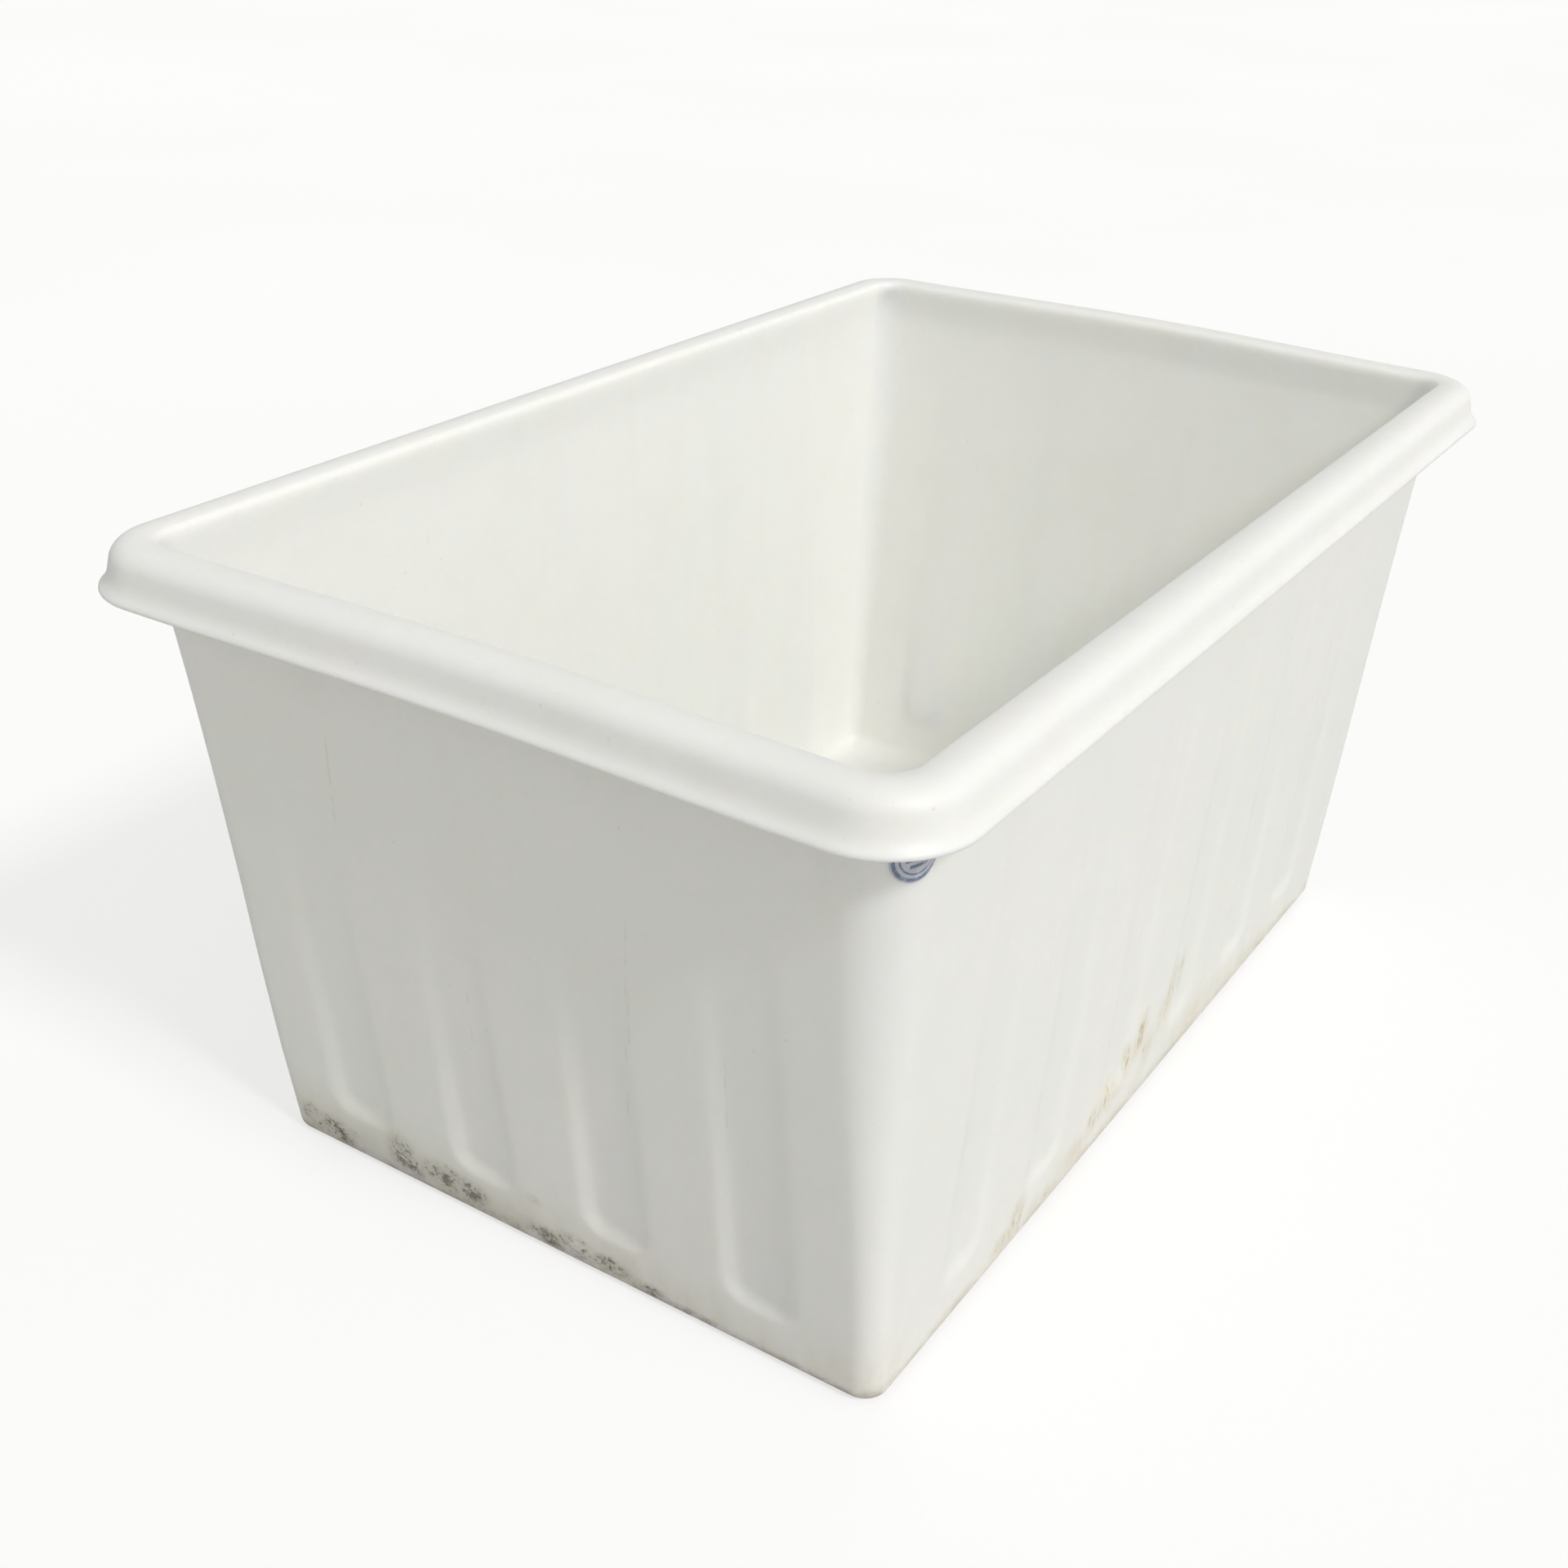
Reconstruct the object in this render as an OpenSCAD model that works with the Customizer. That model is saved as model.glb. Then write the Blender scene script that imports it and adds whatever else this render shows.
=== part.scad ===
// Large open-top tub for mixing mortar: one thin-walled polyethylene moulding,
// divided here into its named regions, plus a blank round sticker.
// Millimetres, +Z up. The origin is the centre of the underside.
// X runs along the long sides, Y along the short ends.
// The front side faces -Y and the left end faces -X.
// The regions meet face to face and together make one continuous skin.

/* [Overall] */
// Length over the lip of the rim
tub_l = 1300; // [1100:10:1600]
// Width over the lip of the rim
tub_w = 810; // [700:10:1100]
// Height from the underside to the top of the rim
tub_h = 630; // [450:10:800]

/* [Walls] */
// Length of the foot of the tub, measured on the underside
base_l = 1052; // [900:4:1060]
// Width of the foot of the tub, measured on the underside
base_w = 664; // [560:4:680]
// Thickness of the walls
wall_t = 7; // [6.5:0.5:9]
// Thickness of the floor
floor_t = 8; // [6:0.5:12]
// Radius of the upright outer corners at the foot
corner_r_base = 25; // [18:1:40]

/* [Flutes] */
// Number of upright flutes in each long side
flutes_side = 6; // [2:1:6]
// Centre distance of the flutes in a long side
pitch_side = 156; // [140:1:160]
// Number of upright flutes in each end
flutes_end = 4; // [2:1:4]
// Centre distance of the flutes in an end
pitch_end = 149; // [130:1:150]
// Width of a flute across its flat bottom
flute_w = 58; // [40:1:62]
// Depth of a flute at its foot
flute_d = 9; // [5:0.5:10]
// Depth of a flute at its upper end
flute_d_top = 2; // [1:0.5:4]
// Height where a flute reaches its full depth
flute_foot = 72; // [60:1:100]
// Distance from the top of the rim down to the upper end of a flute
flute_head = 74; // [64:1:120]

/* [Rim] */
// Distance from the outermost lip to the outer face of the wall
overhang = 43.5; // [42:0.5:55]
// Height of the rim, from its top down to the lower edge of the lip
rim_h = 42; // [40:1:60]
// Corner radius of the lip, seen from above
lip_r = 76; // [70:1:120]
// How far the lip flares out from the skirt
lip_out = 10; // [6:0.5:12]
// Radius of the rolled outer shoulder of the rim
shoulder_r = 18; // [14:1:18]
// Height of the flared part of the skirt, up from the lip
skirt_h = 16; // [14:1:18]

/* [Sticker] */
// Diameter of the blank round sticker
label_d = 50; // [30:1:60]
// Distance of the sticker's centre from the tub's middle, towards the left end
label_x = 568; // [540:1:572]
// Height of the sticker's centre
label_z = 561; // [540:1:565]

/* [Hidden] */
half_l = tub_l / 2;
half_w = tub_w / 2;
z_lip = tub_h - rim_h;                 // lower edge of the lip
z_skirt = z_lip + skirt_h;             // top of the skirt's flared part
z_neck = tub_h - wall_t;               // top of the walls, underside of the crown
edge_r = 6.5;                          // rounding of the crown's inner edge
end_x = half_l - overhang;             // outer face of an end wall under the rim
side_y = half_w - overhang;            // outer face of a side wall under the rim
corner_r_top = lip_r - overhang;       // upright corner radius under the rim
// centres of the upright corners, at the underside and under the rim
cx0 = base_l / 2 - corner_r_base;
cy0 = base_w / 2 - corner_r_base;
cx1 = half_l - lip_r;
cy1 = half_w - lip_r;
function at(a, b, z) = a + (b - a) * z / z_lip;
function arc(cx, cy, r, a0, a1, n) = [for (i = [0:n]) let (a = a0 + (a1 - a0) * i / n) [cx + r * cos(a), cy + r * sin(a)]];

plastic = [0.93, 0.93, 0.90];
plastic_rim = [0.96, 0.96, 0.94];
plastic_floor = [0.88, 0.88, 0.85];
sticker = [0.35, 0.47, 0.72];

// ---------- sections of the rim, as [distance in from the lip, height] ----------

// flat crown of the rim, with its rounded inner edge, from the shoulder to the inner face of the wall
function crown_section() = concat(
    [[lip_out + shoulder_r, z_neck], [lip_out + shoulder_r, tub_h]],
    arc(overhang + wall_t - edge_r, tub_h - edge_r, edge_r, 90, 0, 8),
    [[overhang + wall_t, z_neck]]);

// rolled outer shoulder and hanging skirt, flared out into the lip at its lower edge
function skirt_section() = concat(
    arc(lip_out + shoulder_r, tub_h - shoulder_r, shoulder_r, 90, 180, 12),
    [[lip_out, z_skirt], [lip_out * 0.94, z_skirt - 4], [lip_out * 0.72, z_skirt - 8],
    [lip_out * 0.3, z_skirt - skirt_h * 0.66], [0.6, z_lip + 4.6], [0, z_lip + 3.6], [0, z_lip + 1.2], [1.2, z_lip],
    [5, z_lip], [lip_out * 0.75 + 3, z_lip + 2.5], [lip_out + 4, z_lip + 7],
    [lip_out + wall_t - 1, z_lip + 11], [lip_out + wall_t, z_skirt]],
    arc(lip_out + shoulder_r, tub_h - shoulder_r, shoulder_r - wall_t, 180, 90, 10));

// a straight length of rim on the side that faces -Y
module rail(pts, half_len, reach) {
    translate([-half_len, 0, 0]) rotate([90, 0, 90])
        linear_extrude(2 * half_len) polygon([for (p = pts) [p[0] - reach, p[1]]]);
}
module rail_front(pts) { rail(pts, cx1, half_w); }
module rail_rear(pts) { rotate([0, 0, 180]) rail(pts, cx1, half_w); }
module rail_left(pts) { rotate([0, 0, -90]) rail(pts, cy1, half_l); }
module rail_right(pts) { rotate([0, 0, 90]) rail(pts, cy1, half_l); }

// a quarter turn of rim
module bend(pts, sx, sy) {
    a = sx > 0 ? (sy > 0 ? 0 : 270) : (sy > 0 ? 90 : 180);
    translate([sx * cx1, sy * cy1, 0]) rotate([0, 0, a])
        rotate_extrude(angle = 90, $fn = 96) polygon([for (p = pts) [lip_r - p[0], p[1]]]);
}

// ---------- walls ----------

// upright flute: the hollow pressed in from outside
module flute_cut(len) {
    linear_extrude(len) polygon([[-flute_w / 2, 0], [flute_w / 2, 0],
        [flute_w / 2 + flute_d + 4, -flute_d - 4], [-flute_w / 2 - flute_d - 4, -flute_d - 4]]);
    translate([-flute_w / 2 - 4, 0, 0]) rotate([90, 0, 90])
        linear_extrude(flute_w + 8) polygon([[0, 0], [-flute_d - 4, 0], [-flute_d - 4, -1.6 * (flute_d + 4)]]);
}
// the matching bulge of the same wall on the inside
module flute_bulge(len) {
    k = wall_t * sqrt(2);
    translate([0, 0, -wall_t]) linear_extrude(len + wall_t) polygon([
        [-flute_w / 2 - k + wall_t, wall_t], [flute_w / 2 + k - wall_t, wall_t],
        [flute_w / 2 + 3 + k, -3], [-flute_w / 2 - 3 - k, -3]]);
    translate([-flute_w / 2 - 10, 0, -wall_t]) rotate([90, 0, 90])
        linear_extrude(flute_w + 20) polygon([[wall_t, 0], [-3, 0], [-3, -16]]);
}
// puts a flute on the wall that faces -Y
module on_wall(x, y0, y1) {
    lean = atan((y1 - y0) / z_lip);
    run = tub_h - flute_head - flute_foot;
    fade = atan((flute_d - flute_d_top) / run);
    translate([x, -at(y0, y1, flute_foot) + flute_d, flute_foot]) rotate([lean + fade, 0, 0]) children();
}
// wall panel that faces -Y: y0, y1 its outer face at the underside and under the rim,
// x0, x1 its half length there, with n flutes
module wall_panel(x0, x1, y0, y1, n, pitch) {
    run = (tub_h - flute_head - flute_foot);
    xa = at(x0, x1, floor_t);
    ya = at(y0, y1, floor_t);
    difference() {
        union() {
            intersection() {
                translate([-x1 - 5, 0, 0]) rotate([90, 0, 90]) linear_extrude(2 * x1 + 10)
                    polygon([[-ya, floor_t], [-y1, z_lip], [-y1, z_neck], [-y1 + wall_t, z_neck], [-y1 + wall_t, z_lip], [-ya + wall_t, floor_t]]);
                rotate([90, 0, 0]) linear_extrude(y1 + 50)
                    polygon([[-xa, floor_t], [xa, floor_t], [x1, z_lip], [x1, z_neck], [-x1, z_neck], [-x1, z_lip]]);
            }
            for (i = [0:n - 1]) on_wall((i - (n - 1) / 2) * pitch, y0, y1) flute_bulge(run);
        }
        for (i = [0:n - 1]) on_wall((i - (n - 1) / 2) * pitch, y0, y1) flute_cut(run);
    }
}

// closed solid through a stack of rings, each ring a strip: n + 1 points along one edge and n + 1 back along the other
module strip_loft(rings, n) {
    m = 2 * (n + 1);
    last = len(rings) - 1;
    polyhedron(
        points = [for (r = rings) for (p = r) p],
        faces = concat(
            [for (i = [0:n - 1]) [i, i + 1, m - 2 - i, m - 1 - i]],
            [for (i = [0:n - 1]) [last * m + m - 1 - i, last * m + m - 2 - i, last * m + i + 1, last * m + i]],
            [for (k = [0:last - 1]) for (i = [0:m - 1]) let (j = (i + 1) % m) [k * m + i, (k + 1) * m + i, k * m + j]],
            [for (k = [0:last - 1]) for (i = [0:m - 1]) let (j = (i + 1) % m) [k * m + j, (k + 1) * m + i, (k + 1) * m + j]]),
        convexity = 4);
}
// upright corner, drawn for the +X +Y corner
corner_n = 20;
function corner_ring(z, cx, cy, r) = concat(
    [for (i = [0:corner_n]) let (a = 90 * i / corner_n) [cx + r * cos(a), cy + r * sin(a), z]],
    [for (i = [corner_n:-1:0]) let (a = 90 * i / corner_n) [cx + (r - wall_t) * cos(a), cy + (r - wall_t) * sin(a), z]]);
module wall_corner() {
    strip_loft([
        corner_ring(floor_t, at(cx0, cx1, floor_t), at(cy0, cy1, floor_t), at(corner_r_base, corner_r_top, floor_t)),
        corner_ring(z_lip, cx1, cy1, corner_r_top),
        corner_ring(z_neck, cx1, cy1, corner_r_top)], corner_n);
}
module corner_at(sx, sy) {
    if (sx > 0 && sy > 0) children();
    if (sx < 0 && sy > 0) mirror([1, 0, 0]) children();
    if (sx > 0 && sy < 0) mirror([0, 1, 0]) children();
    if (sx < 0 && sy < 0) mirror([1, 0, 0]) mirror([0, 1, 0]) children();
}

// ---------- nodes ----------

module floor_pan() {
    r = corner_r_base;
    color(plastic_floor) linear_extrude(floor_t) {
        square([base_l - 2 * r, base_w], center = true);
        square([base_l, base_w - 2 * r], center = true);
        for (sx = [-1, 1], sy = [-1, 1]) translate([sx * cx0, sy * cy0]) circle(r = r, $fn = 96);
    }
}
module side_wall_front() { color(plastic) wall_panel(cx0, cx1, base_w / 2, side_y, flutes_side, pitch_side); }
module side_wall_rear() { color(plastic) rotate([0, 0, 180]) wall_panel(cx0, cx1, base_w / 2, side_y, flutes_side, pitch_side); }
module end_wall_left() { color(plastic) rotate([0, 0, -90]) wall_panel(cy0, cy1, base_l / 2, end_x, flutes_end, pitch_end); }
module end_wall_right() { color(plastic) rotate([0, 0, 90]) wall_panel(cy0, cy1, base_l / 2, end_x, flutes_end, pitch_end); }

module wall_corner_front_left() { color(plastic) corner_at(-1, -1) wall_corner(); }
module wall_corner_front_right() { color(plastic) corner_at(1, -1) wall_corner(); }
module wall_corner_rear_left() { color(plastic) corner_at(-1, 1) wall_corner(); }
module wall_corner_rear_right() { color(plastic) corner_at(1, 1) wall_corner(); }

module rim_crown_front() { color(plastic_rim) rail_front(crown_section()); }
module rim_crown_rear() { color(plastic_rim) rail_rear(crown_section()); }
module rim_crown_left() { color(plastic_rim) rail_left(crown_section()); }
module rim_crown_right() { color(plastic_rim) rail_right(crown_section()); }
module rim_crown_corner_front_left() { color(plastic_rim) bend(crown_section(), -1, -1); }
module rim_crown_corner_front_right() { color(plastic_rim) bend(crown_section(), 1, -1); }
module rim_crown_corner_rear_left() { color(plastic_rim) bend(crown_section(), -1, 1); }
module rim_crown_corner_rear_right() { color(plastic_rim) bend(crown_section(), 1, 1); }

module rim_skirt_front() { color(plastic_rim) rail_front(skirt_section()); }
module rim_skirt_rear() { color(plastic_rim) rail_rear(skirt_section()); }
module rim_skirt_left() { color(plastic_rim) rail_left(skirt_section()); }
module rim_skirt_right() { color(plastic_rim) rail_right(skirt_section()); }
module rim_skirt_corner_front_left() { color(plastic_rim) bend(skirt_section(), -1, -1); }
module rim_skirt_corner_front_right() { color(plastic_rim) bend(skirt_section(), 1, -1); }
module rim_skirt_corner_rear_left() { color(plastic_rim) bend(skirt_section(), -1, 1); }
module rim_skirt_corner_rear_right() { color(plastic_rim) bend(skirt_section(), 1, 1); }

// a point on the outside of the tub near the front left corner, at height z, a run u along the
// skin from the sticker's centre line (positive towards the corner), lifted by g
function skin_point(u, z, g) = let (
        cx = at(cx0, cx1, z), cy = at(cy0, cy1, z), r = at(corner_r_base, corner_r_top, z),
        past = label_x + u - cx, a = past / r * 180 / PI)
    past <= 0 ? [-label_x - u, -cy - r - g, z] : [-cx - (r + g) * sin(a), -cy - (r + g) * cos(a), z];
// thin round sticker that lies on the side wall and bends round the front left corner
module round_label() {
    n = 16;
    gap = 0.05;
    th = 0.5;
    color(sticker) strip_loft([for (t = [-84:12:84]) let (w = label_d / 2 * cos(t), z = label_z + label_d / 2 * sin(t)) concat(
        [for (i = [0:n]) skin_point(-w + 2 * w * i / n, z, gap + th)],
        [for (i = [n:-1:0]) skin_point(-w + 2 * w * i / n, z, gap)])], n);
}

floor_pan();
side_wall_front();
side_wall_rear();
end_wall_left();
end_wall_right();
wall_corner_front_left();
wall_corner_front_right();
wall_corner_rear_left();
wall_corner_rear_right();
rim_crown_front();
rim_crown_rear();
rim_crown_left();
rim_crown_right();
rim_crown_corner_front_left();
rim_crown_corner_front_right();
rim_crown_corner_rear_left();
rim_crown_corner_rear_right();
rim_skirt_front();
rim_skirt_rear();
rim_skirt_left();
rim_skirt_right();
rim_skirt_corner_front_left();
rim_skirt_corner_front_right();
rim_skirt_corner_rear_left();
rim_skirt_corner_rear_right();
round_label();
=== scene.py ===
import math

import bpy
from mathutils import Matrix, Vector


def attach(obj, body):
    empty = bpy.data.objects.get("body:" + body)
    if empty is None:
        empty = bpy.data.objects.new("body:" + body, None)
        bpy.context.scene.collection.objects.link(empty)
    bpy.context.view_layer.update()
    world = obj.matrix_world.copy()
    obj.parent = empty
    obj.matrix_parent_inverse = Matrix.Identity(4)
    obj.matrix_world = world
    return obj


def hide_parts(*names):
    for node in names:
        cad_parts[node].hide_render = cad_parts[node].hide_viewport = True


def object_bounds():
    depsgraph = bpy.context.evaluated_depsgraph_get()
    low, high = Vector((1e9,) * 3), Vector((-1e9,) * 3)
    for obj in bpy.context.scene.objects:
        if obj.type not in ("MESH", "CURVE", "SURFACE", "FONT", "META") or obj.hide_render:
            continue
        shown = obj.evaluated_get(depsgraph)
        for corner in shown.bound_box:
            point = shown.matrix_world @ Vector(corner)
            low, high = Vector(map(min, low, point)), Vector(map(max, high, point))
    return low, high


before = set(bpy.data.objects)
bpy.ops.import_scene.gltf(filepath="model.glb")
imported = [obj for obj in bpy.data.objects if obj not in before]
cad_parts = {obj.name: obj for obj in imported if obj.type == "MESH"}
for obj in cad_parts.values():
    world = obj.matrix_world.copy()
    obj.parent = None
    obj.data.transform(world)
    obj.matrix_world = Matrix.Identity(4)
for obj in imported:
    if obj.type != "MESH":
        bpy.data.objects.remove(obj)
lo0, hi0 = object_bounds()

MM = 0.001

# ---------------------------------------------------------------- dimensions
# Millimetres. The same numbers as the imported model, checked against it below.
TUB_L, TUB_W, TUB_H = 1300.0, 810.0, 630.0
WALL, FLOOR_T = 7.0, 8.0
Z_LIP = 588.0
BASE_C = (501.0, 307.0)          # centre of a base corner's arc
RIM_C = (574.0, 329.0)           # the same under the rim, and of the rim's own corners
R_BASE, R_TOP, R_LIP = 25.0, 32.5, 76.0
FLUTES_SIDE = [156.0 * (i - 2.5) for i in range(6)]
FLUTES_END = [149.0 * (i - 1.5) for i in range(4)]
FLUTE_HALF = 40.0                # half the mouth of a flute
FLUTE_FLANK = 21.0
FLUTE_FOOT, FLUTE_HEAD = 50.0, 572.0
FLUTE_DEEP, FLUTE_SHALLOW = 9.0, 0.9
CROWN_BOW = 4.5                  # how far the end rims rise at mid-span

for got, want in zip(list(lo0) + list(hi0), (-TUB_L / 2, -TUB_W / 2, 0.0, TUB_L / 2, TUB_W / 2, TUB_H)):
    assert abs(got - want * MM) < 0.0006, (got, want)


def clamp(v, a=0.0, b=1.0):
    return a if v < a else b if v > b else v


def ease(v):
    v = clamp(v)
    return v * v * (3.0 - 2.0 * v)


# ---------------------------------------------------------------- the moulding
# corner radii of the outer and the inner skin by height: tight at the base, easier under the rim
CORNER_OUT = ((0.0, 23.0), (100.0, 23.0), (200.0, 28.5), (300.0, 37.0), (400.0, 43.0), (500.0, 46.5), (588.0, 47.0))
CORNER_IN = ((0.0, 18.0), (100.0, 18.0), (200.0, 22.0), (300.0, 26.5), (400.0, 30.5), (500.0, 32.5), (588.0, 31.0))


def along(table, z):
    for (z0, r0), (z1, r1) in zip(table, table[1:]):
        if z <= z1:
            return r0 + (r1 - r0) * clamp((z - z0) / (z1 - z0))
    return table[-1][1]


def wall(z, off, inner=False):
    """Centre and radius of the corner arc of the wall's skin at height z, off mm in from the outer skin."""
    t = clamp(z / Z_LIP)
    hx = BASE_C[0] + R_BASE + (RIM_C[0] + R_TOP - BASE_C[0] - R_BASE) * t
    hy = BASE_C[1] + R_BASE + (RIM_C[1] + R_TOP - BASE_C[1] - R_BASE) * t
    if inner:
        r = along(CORNER_IN, z)
        return shrink(hx - WALL - r, hy - WALL - r, r, off - WALL)
    r = along(CORNER_OUT, z)
    return shrink(hx - r, hy - r, r, off)


def shrink(cx, cy, r, off, least=5.0):
    keep = max(r - off, least)
    extra = keep - (r - off)
    return cx - extra, cy - extra, keep


def eased(loop, r):
    """The same loop with another corner radius."""
    cx, cy, r0 = loop
    return cx + r0 - r, cy + r0 - r, r


def rim(inset):
    return shrink(RIM_C[0], RIM_C[1], R_LIP, inset)


def flute_depth(u, z, centres, soft=0.0):
    """How far the skin is pushed in at u along the wall and height z. The inside follows it more softly."""
    if z <= FLUTE_FOOT or z >= FLUTE_HEAD:
        return 0.0
    best = 0.0
    rc = 27.0
    for c in centres:
        du = abs(u - c)
        if du > FLUTE_HALF:
            continue
        qx = du - (FLUTE_HALF - rc)
        qz = max(FLUTE_FOOT + rc - z, z - (FLUTE_HEAD - rc))
        sd = math.hypot(max(qx, 0.0), max(qz, 0.0)) + min(max(qx, qz), 0.0) - rc
        best = max(best, ease(-sd / (FLUTE_FLANK + 6.0 * soft)))
    t = clamp((z - FLUTE_FOOT) / (FLUTE_HEAD - FLUTE_FOOT))
    deep = FLUTE_SHALLOW + (FLUTE_DEEP - FLUTE_SHALLOW) * (1.0 - t) ** 2.4
    if centres is FLUTES_SIDE:
        deep *= 0.42 + 0.22 * ease((z - FLUTE_FOOT) / 110.0)
    return best * deep * (1.0 - 0.42 * soft)


def ripple(u, z, seed):
    """The slow unevenness of a rotomoulded wall, which dies away at the base and the rim."""
    window = ease((z - 60.0) / 120.0) * ease((520.0 - z) / 140.0)
    w = (math.sin(u / 91.0 + seed) * math.sin(z / 77.0 + 1.7 * seed)
         + 0.6 * math.sin(u / 47.0 + 2.3 * seed + z / 120.0)
         + 0.5 * math.sin(z / 39.0 + u / 210.0 + 0.9 * seed))
    return 0.42 * w * window


def bow(y, z):
    """The end rims crown upwards between the corners; the rest of the rim sits a little lower."""
    b = math.cos(math.pi / 2.0 * min(abs(y) / 345.0, 1.0)) ** 2
    return -CROWN_BOW * (1.0 - b) * ease((z - 430.0) / 150.0)


def side_positions(centres, edge):
    out = set()
    for c in centres:
        for o in (0.0, 10.0, 17.5, 22.0, 26.0, 30.0, 34.0, 38.5, 43.5):
            out.add(round(c + o, 3))
            out.add(round(c - o, 3))
    cs = sorted(centres)
    for a, b in zip(cs, cs[1:]):
        mid = (a + b) / 2.0
        out.add(round(mid - 12.0, 3))
        out.add(round(mid + 12.0, 3))
    return sorted(out), edge


SIDE_X, EDGE_X = side_positions(FLUTES_SIDE, 433.5)
END_Y, EDGE_Y = side_positions(FLUTES_END, 267.0)
STEPS = (0.25, 0.5, 0.75)
ARC_N = 16


def make_columns():
    """Each column is (kind, parameter, flute centres). Anticlockwise seen from above, from the front left corner."""
    cols = []

    def straight(side, fixed, sign):
        seq = [("i", -1.0, s) for s in reversed(STEPS)] + [("f", v, 0.0) for v in fixed] + [("i", 1.0, s) for s in STEPS]
        if sign < 0:
            seq = seq[::-1]
        for s in seq:
            cols.append((side,) + s)

    def arc(quadrant):
        for i in range(ARC_N + 1):
            cols.append(("arc", quadrant, i / ARC_N, 0.0))

    arc(2)
    straight("front", SIDE_X, 1)
    arc(3)
    straight("right", END_Y, 1)
    arc(0)
    straight("rear", SIDE_X, -1)
    arc(1)
    straight("left", END_Y, -1)
    return cols


COLS = make_columns()
NC = len(COLS)


def place(col, cx, cy, r, z, push, z_bow=True):
    """A column's point on the loop with this corner arc, in millimetres."""
    kind, a, b, c = col
    if kind == "arc":
        ang = math.radians(90.0 * (a + b))
        sx = 1.0 if a in (0, 3) else -1.0
        sy = 1.0 if a in (0, 1) else -1.0
        x = sx * cx + r * math.cos(ang)
        y = sy * cy + r * math.sin(ang)
    else:
        along = cx if kind in ("front", "rear") else cy
        edge = EDGE_X if kind in ("front", "rear") else EDGE_Y
        u = b if a == "f" else b * (edge + (along - edge) * c)
        d = 0.0
        if push:
            d = flute_depth(u, z, FLUTES_SIDE if kind in ("front", "rear") else FLUTES_END, push - 1.0)
            seed = {"front": 0.3, "right": 1.4, "rear": 2.2, "left": 3.1}[kind]
            d += ripple(u, z, seed) * ease((along - abs(u)) / 70.0)
        if kind == "front":
            x, y = u, -(cy + r) + d
        elif kind == "rear":
            x, y = u, cy + r - d
        elif kind == "right":
            x, y = cx + r - d, u
        else:
            x, y = -(cx + r) + d, u
    return x, y, z + (bow(y, z) if z_bow else 0.0)


def levels():
    z = [9.0, 12.0, 16.5, 22.0, 28.0, 35.0, 42.0]
    z += [47.0 + 3.6 * i for i in range(15)]
    z += [103.0, 110.0, 119.0, 131.0, 146.0]
    z += [146.0 + 22.5 * i for i in range(1, 16)]
    z += [492.0, 502.0, 511.0, 519.0, 527.0, 535.0, 543.0, 550.0, 557.0, 564.0, 571.0, 577.0, 583.0, 588.0]
    return z


LEVELS = levels()


def make_loops():
    """The section of the moulding, from the edge of the underside, up the outside, over the rim and down the inside."""
    loops = []
    r_out = 9.0
    for i in range(6):
        t = math.radians(90.0 * i / 6.0)
        off, z = r_out * (1.0 - math.sin(t)), r_out * (1.0 - math.cos(t))
        loops.append((wall(z, off), z, 0.0))
    for z in LEVELS:
        loops.append((wall(z, 0.0), z, 1.0))
    # the open channel under the crown
    for inset, z in ((43.5, 595.0), (43.5, 603.0), (43.5, 610.0), (43.5, 614.5), (43.0, 617.6), (41.5, 620.2), (39.0, 622.0),
                     (35.8, 622.9), (32.0, 623.0), (28.0, 622.9), (25.0, 622.3), (22.4, 621.2), (20.3, 619.4), (18.7, 617.2),
                     (17.6, 614.6), (17.1, 611.5), (17.0, 607.5), (16.9, 603.5), (16.3, 600.0), (15.2, 596.9), (13.5, 594.3),
                     (11.2, 591.9), (8.5, 590.0), (5.8, 588.8), (3.6, 588.1), (2.0, 588.0), (0.9, 588.4), (0.25, 589.2), (0.0, 590.3),
                     (0.2, 591.4), (0.9, 592.5), (2.1, 593.7), (3.5, 595.1), (4.9, 596.8), (6.2, 598.9), (7.3, 601.4),
                     (8.2, 604.2), (8.9, 607.2), (9.6, 610.4)):
        loop = rim(inset)
        if inset >= 28.0:
            loop = eased(loop, 48.0 - 1.0 * clamp((inset - 28.0) / 8.0))
        loops.append((loop, z, 0.0))
    # the shoulder, then the crown, which is broad and slightly domed
    for deg in (8, 17, 26, 35, 44, 53, 62, 71, 79):
        t = math.radians(deg)
        loops.append((rim(29.0 - 18.7 * math.cos(t)), 611.2 + 18.3 * math.sin(t), 0.0))
    for inset, z in ((28.0, 629.62), (30.8, 629.92), (33.6, 630.0), (36.4, 629.92), (39.2, 629.65), (41.8, 629.15)):
        loops.append((rim(inset), z, 0.0))
    for deg in (72, 60, 47, 34, 21, 8):
        t = math.radians(deg)
        loops.append((rim(43.4 + 7.1 * math.cos(t)), 621.9 + 7.3 * math.sin(t), 0.0))
    for z, r in ((618.0, 26.1), (611.0, 27.4), (603.0, 29.0), (595.0, 30.3)):
        loops.append((eased(rim(50.5), r), z, 0.0))
    # the inside is softer, so it needs fewer rings than the outside
    for z in reversed([v for k, v in enumerate(LEVELS) if v > 30.0 and (k % 2 == 0 or 100.0 < v < 500.0 or v > 580.0)]):
        loops.append((wall(z, WALL, True), z, 2.0))
    r_in = 21.0
    for i in range(1, 9):
        t = math.radians(90.0 * i / 8.0)
        off, z = WALL + r_in * (1.0 - math.cos(t)), FLOOR_T + r_in * (1.0 - math.sin(t))
        loops.append((wall(z, off, True), z, 0.0))
    return loops


LOOPS = make_loops()


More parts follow.
